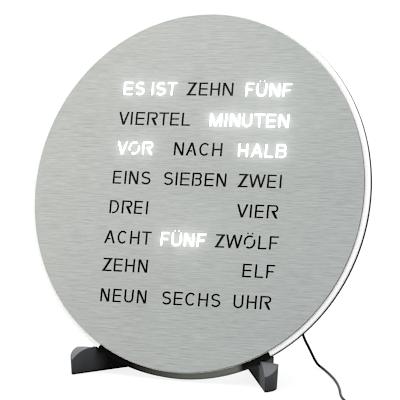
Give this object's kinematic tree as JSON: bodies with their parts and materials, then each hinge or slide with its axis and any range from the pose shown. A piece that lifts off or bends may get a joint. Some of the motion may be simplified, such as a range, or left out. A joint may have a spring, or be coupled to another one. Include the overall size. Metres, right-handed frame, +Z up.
{
  "type": "word clock",
  "caption": "Round desk clock that tells the time in lit words through a stencilled brushed metal disc, leaning in a low splayed stand, with a plug-in supply.",
  "frame": {"origin": "middle of the footprint of the clock and its stand, on the surface it stands on", "axes": "+Z up, -Y towards the dial's front, +X to the right as seen from the front"},
  "size_m": [0.3841, 0.1468, 0.2989],
  "materials": {
    "brushed_front": "fine horizontal brushed grain, clear anodised",
    "mask_black": "black printed film",
    "lit_white": "white light window, glowing",
    "smoked_dark": "smoked window, unlit",
    "opal_acrylic": "polished white acrylic",
    "zinc_steel": "zinc plated",
    "black_fibre": "black nylon washers",
    "white_plastic": "moulded white",
    "board_green": "solder-masked circuit board",
    "led_body": "white light-emitting diodes",
    "chip_black": "moulded package",
    "holder_black": "moulded",
    "cell_steel": "nickel plated",
    "button_black": "fine satin",
    "panel_black": "satin black sheet",
    "cover_black": "fine moulded texture",
    "black_rubber": "soft black rubber",
    "strip_black": "satin black strip",
    "foot_slate": "satin dark slate moulding",
    "cord_black": "moulded flexible plastic",
    "tie_black": "woven hook and loop band",
    "supply_black": "fine moulded texture",
    "pin_nickel": "nickel plated"
  },
  "bodies": {
    "stand": {"foot_right": "foot_slate", "foot_left": "foot_slate", "rear_bridge": "foot_slate", "bridge_screws": "zinc_steel", "foot_pads": "black_rubber", "cord_tube": "cord_black", "cord_coil": "cord_black", "coil_tie": "tie_black", "cord_tail": "cord_black", "supply_relief": "cord_black", "supply_body": "supply_black", "supply_pins": "pin_nickel"},
    "hour_key": {"button_hour": "button_black"},
    "minute_key": {"button_minute": "button_black"},
    "dim_key": {"button_dim": "button_black"},
    "cell_hatch": {"battery_door": "cover_black"},
    "clock": {"front_plate": "brushed_front", "mask_film": "mask_black", "lit_windows": "lit_white", "dark_windows": "smoked_dark", "acrylic_disc": "opal_acrylic", "plate_studs": "zinc_steel", "stud_washers": "black_fibre", "stud_nuts": "zinc_steel", "word_baffle": "white_plastic", "led_board": "board_green", "board_screws": "zinc_steel", "word_leds": "led_body", "driver_chips": "chip_black", "control_chip": "chip_black", "clock_crystal": "zinc_steel", "cell_holder": "holder_black", "coin_cell": "cell_steel", "dc_jack": "holder_black", "tact_switches": "chip_black", "back_panel": "panel_black", "rear_housing": "cover_black", "housing_screws": "zinc_steel", "wall_pads": "black_rubber", "grip_strip": "strip_black", "dc_plug": "cord_black", "plug_relief": "cord_black"}
  },
  "joints": [
    {"name": "clock_lift", "type": "slide", "parent": "stand", "child": "clock", "axis": [0, 0.284, 0.9588], "range_m": [0, 0.03]},
    {"name": "hour_press", "type": "slide", "parent": "clock", "child": "hour_key", "axis": [0, -0.9588, 0.284], "range_m": [0, 0.001], "stiffness_N_per_m": 400},
    {"name": "minute_press", "type": "slide", "parent": "clock", "child": "minute_key", "axis": [0, -0.9588, 0.284], "range_m": [0, 0.001], "stiffness_N_per_m": 400},
    {"name": "dim_press", "type": "slide", "parent": "clock", "child": "dim_key", "axis": [0, -0.9588, 0.284], "range_m": [0, 0.001], "stiffness_N_per_m": 400},
    {"name": "hatch_slide", "type": "slide", "parent": "clock", "child": "cell_hatch", "axis": [0.9997, 0.0069, 0.0234], "range_m": [0, 0.03]}
  ]
}
